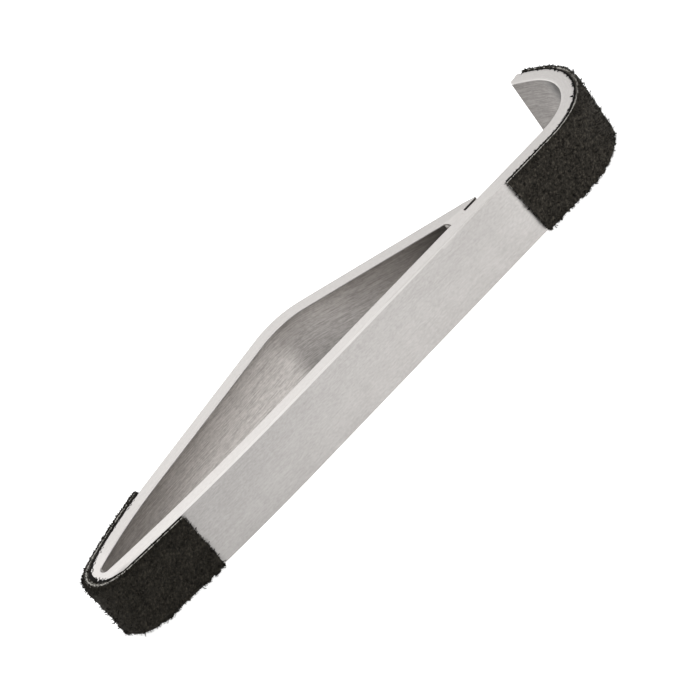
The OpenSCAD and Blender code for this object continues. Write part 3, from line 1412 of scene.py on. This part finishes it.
@dataclass
class SuedePad:
    """One pad's leather, whose ragged surface carries the loose fibres.

    Each salt keeps one of its patterns apart from the others.
    """

    shape: BarShape
    line: MiddleLine
    size: PadShape
    suede: Suede
    step: float = 0.27 * MM
    face_steps: int = 60
    rim_steps: int = 9
    end_rings: Triple = (0.06 * MM, 0.16 * MM, 0.3 * MM)
    soft: float = 0.42 * MM
    end_soft: float = 0.7
    turn: Span = (0.55, 0.45)
    shrink: float = 0.1 * MM
    shrink_share: float = 0.25
    fray_share: float = 0.6
    edge_reach: float = 1.2 * MM
    top_reach: float = 0.8 * MM
    clump: float = 0.15 * MM
    clump_sizes: Span = (0.8 * MM, 0.35 * MM)
    clump_salt: float = 5.0
    clump_share: float = 0.5
    dent: float = 0.1 * MM
    dent_size: float = 6 * MM
    dent_salt: float = 9.0
    dent_least: float = 0.6
    wisp: float = 0.9 * MM
    wisp_size: float = 1.2 * MM
    wisp_salt: float = 3.0
    wisp_from: float = 0.12
    ragged: float = 0.34 * MM
    fine_share: float = 0.3
    fine_size: float = 0.45 * MM
    fine_salt: float = 24.0
    saw_share: float = 0.7
    saw_size: float = 1.1 * MM
    saw_salt: float = 30.0
    tooth: float = 1.5 * MM
    tooth_salts: Span = (60.0, 70.0)
    tooth_share: float = 0.8
    tooth_fine: float = 0.45
    tooth_deep: float = 0.75 * MM
    tooth_out: float = 0.4 * MM
    tooth_mean: float = 0.6
    tooth_top: float = 0.7
    tooth_range: Span = (0.15, 1.7)
    edge_lean: float = 0.3 * MM
    floor: float = 0.04 * MM
    crisp: float = 75.0

    def rim(self, step: int) -> Triple:
        """One point of the cut edge.

        Args:
            step: Its number, from the inner side.

        Returns:
            Its share of the thickness, its drop and how frayed it is.
        """
        share = step / self.rim_steps
        turn = max(0.0, (share - self.turn[0]) / self.turn[1])
        drop = self.soft * rounded_off(turn) + self.shrink * max(0.0, 1 - share / self.shrink_share)
        return share, drop, min(1.0, share / self.fray_share)

    def top(self, along: float) -> float:
        """The height of the pad's upper edge. It lies lower where the bar's edge is worn."""
        return self.shape.width - self.size.drop * self.line.edge_worn(along)

    def rim_inner(self, along: float) -> float:
        """Where the inner side of the leather's upper edge lies. It leans in over the glue."""
        lean = self.edge_lean + self.size.fold_lean * self.line.nose_round(along)
        return self.size.glued(along) - lean

    def section(self, along: float) -> list[Triple]:
        """Points of the leather's cross-section: its share of the thickness, height and fray.

        Args:
            along: The distance along the bar.

        Returns:
            The points, once round from the lower inner corner.
        """
        top = self.top(along)
        foot = self.size.lift + self.size.lifted(self.line.nose_round(along))
        rim = [self.rim(step) for step in range(self.rim_steps + 1)]
        points = [(share, foot + drop, fray) for share, drop, fray in rim]
        low, high = foot + self.soft, top - self.soft
        for z in cuts(low, high, self.face_steps):
            points.append((1.0, z, max(0.0, 1 - min(z - low, high - z) / self.edge_reach)))
        return points + [(share, top - drop, fray) for share, drop, fray in reversed(rim)]

    def build(self) -> bpy.types.Object:
        """Makes the leather, dresses it and ties it to the frame.

        Returns:
            The leather.
        """
        size = self.size
        places = {*self.line.steps(size.low, size.high, self.step, self.step)}
        for inward in self.end_rings:
            places |= {size.low + inward, size.high - inward}
        loft = Loft(marks={DEPTH: [], FRAY: [], SWELL: []})
        for along in sorted(places):
            inner, rim_inner = size.glued(along), self.rim_inner(along)
            lack = max(0.0, 1 - min(along - size.low, size.high - along) / self.soft)
            outside = size.outside(along) - self.end_soft * self.soft * rounded_off(lack)
            ring, depths, frays = [], [], []
            for share, z, fray in self.section(along):
                start = rim_inner if z > self.shape.width / 2 else inner
                out = part_way(start, outside, share)
                ring.append(self.placed(along, out, z, share))
                off_rim = (1 - fray) * MM if share == 1.0 else 0.0
                depths.append(out - start - size.swollen_deep * size.past_fold(along) + off_rim)
                frays.append(max(fray, lack))
            loft.rings.append(ring)
            loft.marks[DEPTH].append(depths)
            loft.marks[FRAY].append(frays)
            loft.marks[SWELL].append([size.swell(along)] * len(ring))
        made = loft.object(size.pad.value + "_leather", self.suede, self.crisp)
        return tie(made, size.pad.value, "suede")

    def placed(self, along: float, out: float, z: float, share: float) -> Vector:
        """Puts one point of the leather in its place, with its unevenness.

        Args:
            along: Its distance along the bar.
            out: Its offset out of the steel.
            z: Its height.
            share: How far it is from the leather's inner to its outer side.

        Returns:
            The place.
        """
        size, seed, top = self.size, self.size.seed, self.top(along)
        spot = Vector((along, out, z))
        low_edge, high_edge = math.exp(-z / self.edge_reach), math.exp(-(top - z) / self.top_reach)
        low_tooth, high_tooth = (self.tuft(along, salt) for salt in self.tooth_salts)
        if share > 0.5:
            coarse, fine = self.clump_sizes
            curl = self.clump_share * rough(spot, fine, seed + self.clump_salt)
            out += self.clump * (rough(spot, coarse, seed) + curl)
            out += self.dent * (rough(spot, self.dent_size, seed + self.dent_salt) - self.dent_least)
            wisp = rough(spot, self.wisp_size, seed + self.wisp_salt)
            out += self.wisp * max(0.0, wisp - self.wisp_from)
            low_out, high_out = low_tooth - self.tooth_mean, high_tooth - self.tooth_mean
            out += self.tooth_out * (low_edge * low_out + high_edge * self.tooth_top * high_out)
        fine = rough(spot, self.fine_size, seed + self.fine_salt)
        z += self.tooth_deep * low_edge * (1 - low_tooth)
        z += self.ragged * self.fine_share * fine * (low_edge + high_edge)
        z = max(self.floor, min(top, z))
        end = size.high if along > (size.low + size.high) / 2 else size.low
        near = nearness(along, (end, self.edge_reach))
        saw = rough(Vector((out, z, seed)), self.saw_size, seed + self.saw_salt)
        along += near * self.ragged * self.saw_share * saw + size.drift(along, z)
        return Vector((*self.line.at(along, self.shape.half + out), z))

    def tuft(self, along: float, salt: float) -> float:
        """How far a torn tuft of the cut edge stands out at a distance along the bar.

        Args:
            along: The distance.
            salt: A number that gives each edge a pattern of its own.

        Returns:
            How far it stands out, from 0 to 1.
        """
        spot = Vector((along, 0.0, self.size.seed))
        fine = rough(spot, self.tooth_fine * self.tooth, salt + 1)
        mixed = rough(spot, self.tooth, salt) + self.tooth_share * fine
        return held(self.tooth_range[0] + self.tooth_range[1] * mixed)


@dataclass
class GlueLayer:
    """The glue under one pad.

    It fills the bar's rounded edges at the folded nose, and creeps past the leather onto the bar's
    upper edge in beads, a smear and specks. Each salt keeps one pattern apart from the others.
    """

    pad: SuedePad
    inset: float = 0.2 * MM
    overlap: float = 0.1 * MM
    tuck: float = 0.12 * MM
    tuck_drop: float = 0.08 * MM
    lift: float = 0.06 * MM
    lift_play: float = 0.04 * MM
    lift_size: float = 1.3 * MM
    lift_salt: float = 47.0
    sag: float = 0.5
    foot_share: float = 0.4
    under_share: float = 0.3
    shoulder_share: float = 0.6
    rim: float = 0.05 * MM
    over: float = 0.03 * MM
    root: float = 0.2 * MM
    worn_share: float = 0.45
    least: float = 0.02 * MM
    creep: float = 1.75 * MM
    fold_beads: float = 0.3 * MM
    bead_sizes: Span = (1.4 * MM, 0.5 * MM)
    bead_salts: Span = (41.0, 43.0)
    bead_share: float = 0.8
    loose_share: float = 0.5
    speck_size: float = 0.6 * MM
    speck_from: float = 0.08
    speck_salt: float = 51.0
    crisp: float = 50.0

    def crept(self, along: float, rounded: float) -> float:
        """How far the glue creeps past the steel's outer face.

        Args:
            along: The distance along the bar.
            rounded: How far the bar's edges are rounded over there, from 0 to 1.

        Returns:
            How far it creeps, with its beads, its smear and its specks.
        """
        size = self.pad.size
        spot = Vector((along, 0.0, size.seed))
        coarse, fine = (rough(spot, *grain) for grain in zip(self.bead_sizes, self.bead_salts))
        bead = coarse + self.bead_share * fine
        speck = max(0.0, rough(spot, self.speck_size, self.speck_salt) - self.speck_from) * size.specks
        creep = self.rim + rounded * self.creep + (size.beads + self.fold_beads * rounded) * bead
        creep += size.smear * nearness(along, size.smear_at)
        return max(creep, self.least) + speck * MM + self.loose_share * size.past_fold(along)

    def section(self, along: float) -> list[Point]:
        """Points of the glue's cross-section, as offsets out of the steel and heights.

        Args:
            along: The distance along the bar.

        Returns:
            The points, once round from the crept edge on the bar's upper edge.
        """
        pad, size, s = self.pad, self.pad.size, self.pad.shape
        top, worn = pad.top(along), pad.line.edge_worn(along)
        rounded = pad.line.nose_round(along) if size.pad is Pad.NOSE else 0.0
        creep = self.crept(along, rounded)
        outside, upper = size.glued(along) + self.overlap, pad.rim_inner(along) + self.tuck
        spot = Vector((along, 0.0, size.seed))
        lift = self.lift + self.lift_play * rough(spot, self.lift_size, self.lift_salt)
        foot = lift + size.lifted(rounded)
        root = s.ease + s.round_deep * rounded + s.worn_deep * worn + self.root
        middle = part_way(-creep, upper, 0.5)
        raised = self.over if rounded == 0 and middle < 0 else -self.sag * lift
        under, sunk = -self.rim - creep, -creep - self.worn_share * s.worn_out * worn
        return [
            (-creep, top + self.over), (middle, top + raised), (upper, top - lift - self.tuck_drop),
            (outside, top - root), (outside, foot + self.overlap), (outside * self.foot_share, foot),
            (-creep, foot), (-creep, max(foot, root)), (under, self.under_share * top),
            (under, s.width - root), (sunk, s.width - self.shoulder_share * root),
        ]

    def build(self) -> bpy.types.Object:
        """Makes the glue layer, dresses it and ties it to the frame.

        Returns:
            The glue layer.
        """
        pad, size, loft = self.pad, self.pad.size, Loft()
        low, high = size.low + self.inset, size.high - self.inset
        for along in pad.line.steps(low, high, pad.step, pad.step):
            ring = []
            for out, z in self.section(along):
                place = pad.line.at(along + size.drift(along, z), pad.shape.half + out)
                ring.append(Vector((*place, max(pad.floor, z))))
            loft.rings.append(ring)
        made = loft.object(size.pad.value + "_adhesive", Glue(), self.crisp)
        return tie(made, size.pad.value + "_glue", "glue")


@dataclass(frozen=True)
class FibreLook:
    """How one set of fibres grows. Its density is per square metre."""

    label: str
    density: float
    length: float
    radius: float
    bend: float
    tilt: float
    clump: float
    gather: float
    even: float
    steps: int
    seed: int


NAP = FibreLook("nap", density=5.6e6, length=0.24 * MM, radius=0.039 * MM, bend=0.5, tilt=0.9,
                clump=0.8 * MM, gather=0.5, even=1.0, steps=1, seed=11)
FRINGE = FibreLook("fringe", density=6.0e6, length=0.4 * MM, radius=0.055 * MM, bend=0.3, tilt=0.7,
                   clump=0.7 * MM, gather=0.9, even=0.0, steps=2, seed=23)
WHISKER = FibreLook("whisker", density=0.55e6, length=0.85 * MM, radius=0.1 * MM, bend=0.4, tilt=0.8,
                    clump=0.9 * MM, gather=0.8, even=1.0, steps=2, seed=37)


class FibreTree(Nodes):
    """The node tree that sets fibres on a surface. They gather in clumps that lean together."""

    ROOT: Triple = (0.0, 0.0, -0.15)
    ROOT_HANDLE: Triple = (0.0, 0.0, 0.5)
    TIP_HANDLE: Triple = (0.05, 0.0, 0.8)
    THINNED: float = 0.75
    LENGTHS: Span = (0.45, 1.3)
    TUFT_LENGTHS: Span = (0.5, 1.4)
    CLUMP_GAIN: float = 4.0
    FULL_TURN: float = 6.283
    FLOATS: tuple[str, ...] = ("Density", "Length", "Radius", "Bend", "Tilt", "Clump", "Gather", "Even")

    def __init__(self) -> None:
        """Builds the tree."""
        super().__init__(bpy.data.node_groups.new("loose_fibres", "GeometryNodeTree"))
        kinds = {"Geometry": "Geometry", **dict.fromkeys(self.FLOATS, "Float"),
                 "Steps": "Int", "Seed": "Int", "Finish": "Material"}
        for label, kind in kinds.items():
            self.tree.interface.new_socket(label, in_out="INPUT", socket_type="NodeSocket" + kind)
        self.tree.interface.new_socket("Geometry", in_out="OUTPUT", socket_type="NodeSocketGeometry")
        self.given = self.node("NodeGroupInput")
        self._build()

    def random(self, low: float, high: float, salt: int) -> Value:
        """A random number for each point. Its salt keeps it apart from the others."""
        inputs = {"Seed": self.given["Seed"] + float(salt), 2: low, 3: high}
        return self.node("FunctionNodeRandomValue", {"data_type": "FLOAT"}, inputs)[1]

    def _clumps(self) -> list[Value]:
        """Three smooth numbers, each about -1 to 1, that vary from clump to clump.

        Returns:
            The numbers.
        """
        inputs = {"Scale": 1.0 / self.given["Clump"], "Detail": 1.0}
        pattern = self.node("ShaderNodeTexNoise", None, inputs)
        parts = self.node("ShaderNodeSeparateXYZ", None, {0: pattern["Color"]})
        return [(parts[i] - 0.5) * self.CLUMP_GAIN for i in range(3)]

    def _lean(self, clump: Value, salt: int) -> Value:
        """The angle at which a fibre leans: partly with its clump and partly its own way."""
        own = self.random(-1.0, 1.0, salt) * (1.0 - self.given["Gather"])
        return (clump * self.given["Gather"] + own) * self.given["Tilt"]

    def _fibre(self) -> Value:
        """One tapered fibre of length 1 that stands on the origin and leans over.

        Returns:
            The fibre.
        """
        given = self.given
        tip = self.node("ShaderNodeCombineXYZ", None, {0: given["Bend"], 2: 1.0})
        stem = self.node("GeometryNodeCurvePrimitiveBezierSegment", None, {
            "Resolution": given["Steps"], "Start": self.ROOT, "Start Handle": self.ROOT_HANDLE,
            "End Handle": self.TIP_HANDLE, "End": tip[0],
        })
        taper = 1.0 - self.node("GeometryNodeSplineParameter")["Factor"] * self.THINNED
        shaped = self.node("GeometryNodeSetCurveRadius", None, {"Curve": stem[0], "Radius": taper})
        slim = given["Radius"] / given["Length"]
        profile = self.node("GeometryNodeCurvePrimitiveCircle", None, {"Resolution": 3, "Radius": slim})
        inputs = {"Curve": shaped[0], "Profile Curve": profile[0], "Fill Caps": True}
        return self.node("GeometryNodeCurveToMesh", None, inputs)[0]

    def _build(self) -> None:
        """Joins the fibres, their places and their finish."""
        given = self.given
        across, down, strength = self._clumps()
        fray = self.node("GeometryNodeInputNamedAttribute", {"data_type": "FLOAT"}, {"Name": FRAY})
        share = fray[0].maths("MAXIMUM", given["Even"])
        tuft = (1.0 + strength * given["Gather"]).maths("MAXIMUM", 0.0)
        points = self.node("GeometryNodeDistributePointsOnFaces", {"distribute_method": "RANDOM"}, {
            "Mesh": given["Geometry"], "Density": share * given["Density"] * tuft, "Seed": given["Seed"],
        })
        spin = self.random(0.0, self.FULL_TURN, 3) * (1.0 - given["Gather"])
        lean = {0: self._lean(across, 1), 1: self._lean(down, 2), 2: spin}
        turn = self.node("FunctionNodeEulerToRotation", None, {
            0: self.node("ShaderNodeCombineXYZ", None, lean)[0],
        })
        turned = self.node("FunctionNodeRotateRotation", {"rotation_space": "LOCAL"}, {
            "Rotation": points["Rotation"], "Rotate By": turn[0],
        })
        least, most = self.TUFT_LENGTHS
        grown = self.random(*self.LENGTHS, 4) * tuft.maths("MAXIMUM", least).maths("MINIMUM", most)
        placed = self.node("GeometryNodeInstanceOnPoints", None, {
            "Points": points["Points"], "Instance": self._fibre(), "Rotation": turned[0],
            "Scale": grown * given["Length"],
        })
        real = self.node("GeometryNodeRealizeInstances", None, {"Geometry": placed[0]})
        dressed = self.node("GeometryNodeSetMaterial", None, {
            "Geometry": real[0], "Material": given["Finish"],
        })
        self.node("NodeGroupOutput", None, {0: dressed[0]})


@dataclass(frozen=True)
class FibreRoom:
    """The room that fibres have. Above the bar's edge they are pressed down.

    They reach no further than the reach past the front of the solids.
    """

    floor: float
    top: float
    front: float
    reach: float = 1.1 * MM
    play: float = 0.5 * MM

    def settle(self, spot: Vector) -> Vector:
        """The place that a fibre's point takes.

        Args:
            spot: The place where it grew.

        Returns:
            The place inside the room.
        """
        z = spot.z
        if z > self.top:
            z = self.top + self.play * (1 - math.exp((self.top - z) / self.play))
        return Vector((spot.x, max(self.front - self.reach, spot.y), max(self.floor, z)))


def grow(tree: FibreTree, ground: bpy.types.Object, look: FibreLook, finish: bpy.types.Material,
         room: FibreRoom) -> bpy.types.Object:
    """Grows fibres on a piece and gives them as one plain mesh.

    Args:
        tree: The fibres' node tree.
        ground: The piece that they grow on.
        look: How they grow.
        finish: Their material.
        room: The room that they have.

    Returns:
        The fibres.
    """
    mesh = ground.data.copy()
    carrier = new_object("carrier", mesh)
    growth = carrier.modifiers.new("fibres", "NODES")
    growth.node_group = tree.tree
    given = {**vars(look), "finish": finish}
    for item in tree.tree.interface.items_tree:
        if item.in_out == "INPUT" and item.name.lower() in given:
            growth[item.identifier] = given[item.name.lower()]
    view = bpy.context.evaluated_depsgraph_get()
    view.update()
    fibres = bpy.data.meshes.new_from_object(carrier.evaluated_get(view), depsgraph=view)
    carrier.modifiers.clear()
    bpy.data.objects.remove(carrier)
    bpy.data.meshes.remove(mesh)
    for vertex in fibres.vertices:
        vertex.co = room.settle(vertex.co)
    fibres.name = ground.name.replace("leather", look.label)
    return tie(new_object(fibres.name, fibres), None, "suede")


# --------------------------------------------------------------------- studio


@dataclass(frozen=True)
class SoftBox:
    """A rectangular studio light that points at the tool."""

    name: str
    place: Triple
    size: Span
    power: float


@dataclass
class Studio:
    """The floor, the lights and the camera."""

    target: Vector
    azimuth: float = -12.49
    elevation: float = 36.262
    roll: float = 38.539
    distance: float = 1.04303
    lens: float = 171.27
    sensor: float = 36.0
    clip: Span = (0.05, 20.0)
    floor_size: float = 6.0
    world: float = 0.2
    boxes: tuple[SoftBox, ...] = (
        SoftBox("back_light", place=(-0.28, 0.8, 0.8), size=(1.8, 1.1), power=10.6),
        SoftBox("top_light", place=(0.2, -0.3, 1.15), size=(1.0, 1.6), power=6.2),
        SoftBox("front_light", place=(0.1, -1.25, 0.55), size=(1.0, 0.7), power=2.6),
    )

    def camera(self) -> None:
        """Sets the camera up, turned about its axis by the roll."""
        a, e, r = (math.radians(v) for v in (self.azimuth, self.elevation, self.roll))
        right = Vector((math.cos(a), math.sin(a), 0))
        back = Vector((math.sin(a) * math.cos(e), -math.cos(a) * math.cos(e), math.sin(e)))
        up = back.cross(right)
        side = right * math.cos(r) - up * math.sin(r)
        top = right * math.sin(r) + up * math.cos(r)
        data = bpy.data.cameras.new("camera")
        data.lens = self.lens
        data.sensor_width = self.sensor
        data.clip_start, data.clip_end = self.clip
        made = new_object("camera", data)
        eye = self.target + back * self.distance
        made.matrix_world = Matrix.Translation(eye) @ Matrix((side, top, back)).transposed().to_4x4()
        bpy.context.scene.camera = made

    def lights(self) -> None:
        """Sets the world and the soft boxes up."""
        world = bpy.data.worlds.new("studio")
        world.use_nodes = True
        sky = world.node_tree.nodes["Background"].inputs
        sky["Color"].default_value = (1, 1, 1, 1)
        sky["Strength"].default_value = self.world
        bpy.context.scene.world = world
        for box in self.boxes:
            data = bpy.data.lights.new(box.name, "AREA")
            data.shape = "RECTANGLE"
            data.size, data.size_y = box.size
            data.energy = box.power
            made = new_object(box.name, data)
            made.location = box.place
            aim = self.target - Vector(box.place)
            made.rotation_euler = aim.to_track_quat("-Z", "Y").to_euler()

    def floor(self) -> None:
        """Lays the floor under the tool."""
        half = self.floor_size / 2
        mesh = bpy.data.meshes.new("floor")
        corners = [(-half, -half, 0), (half, -half, 0), (half, half, 0), (-half, half, 0)]
        mesh.from_pydata(corners, [], [(0, 1, 2, 3)])
        mesh.materials.append(Paper().material())
        new_object("floor", mesh)

    def build(self) -> None:
        """Builds the studio."""
        self.camera()
        self.lights()
        self.floor()
        view = bpy.context.scene.view_settings
        view.view_transform = "Standard"
        view.look = "None"


# ----------------------------------------------------------------------- main


def main() -> None:
    """Builds the tool's pieces in order and the studio round them."""
    logging.basicConfig(level=logging.INFO, format="%(name)s: %(message)s")
    low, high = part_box("steel_bar")
    shape = BarShape(width=high.z - low.z)
    line = MiddleLine(shape)
    Studio(target=Vector((7.55 * MM, 11.88 * MM, shape.width / 2))).build()

    SteelBar(shape, line).build()
    WeldBead(shape).build()

    nose = PadShape(Pad.NOSE, low=line.fold_start - 27.4 * MM, high=line.fold_end + 28.4 * MM,
                    frayed=line.apex, frayed_reach=(8 * MM, 13 * MM), fold_lift=2.4 * MM,
                    fold_lean=1.3 * MM, drop=0.6 * MM, swollen=0.5 * MM, broken=1.1,
                    specks=2.0, seed=2.0)
    hook = PadShape(Pad.HOOK, low=line.tip, high=18.3 * MM, frayed=-23 * MM,
                    frayed_reach=(8 * MM, 9 * MM), thin=0.8, thin_from=-22 * MM, skew=5.0,
                    end_broken=1.2, beads=0.36 * MM, smear=0.4 * MM, specks=1.8, seed=7.0)
    fibres = FibreTree()
    nap = Fibre("suede_nap", pale=(0.045, 0.04, 0.031)).material()
    fringe = Fibre("suede_fringe", pale=(0.03, 0.026, 0.02)).material()
    whisker = Fibre("suede_whisker", pale=(0.02, 0.0178, 0.0138)).material()
    worn = Suede("worn_suede", mid=(0.029, 0.0257, 0.0205), pale=(0.082, 0.072, 0.0575), line_fade=0.55)
    for size, suede in ((nose, Suede()), (hook, worn)):
        pad = SuedePad(shape, line, size, suede)
        GlueLayer(pad).build()
        leather = pad.build()
        room = FibreRoom(floor=pad.floor, top=shape.width, front=cad_low.y)
        for look, finish in ((NAP, nap), (FRINGE, fringe), (WHISKER, whisker)):
            grow(fibres, leather, look, finish, room)


if __name__ == "__main__":
    main()
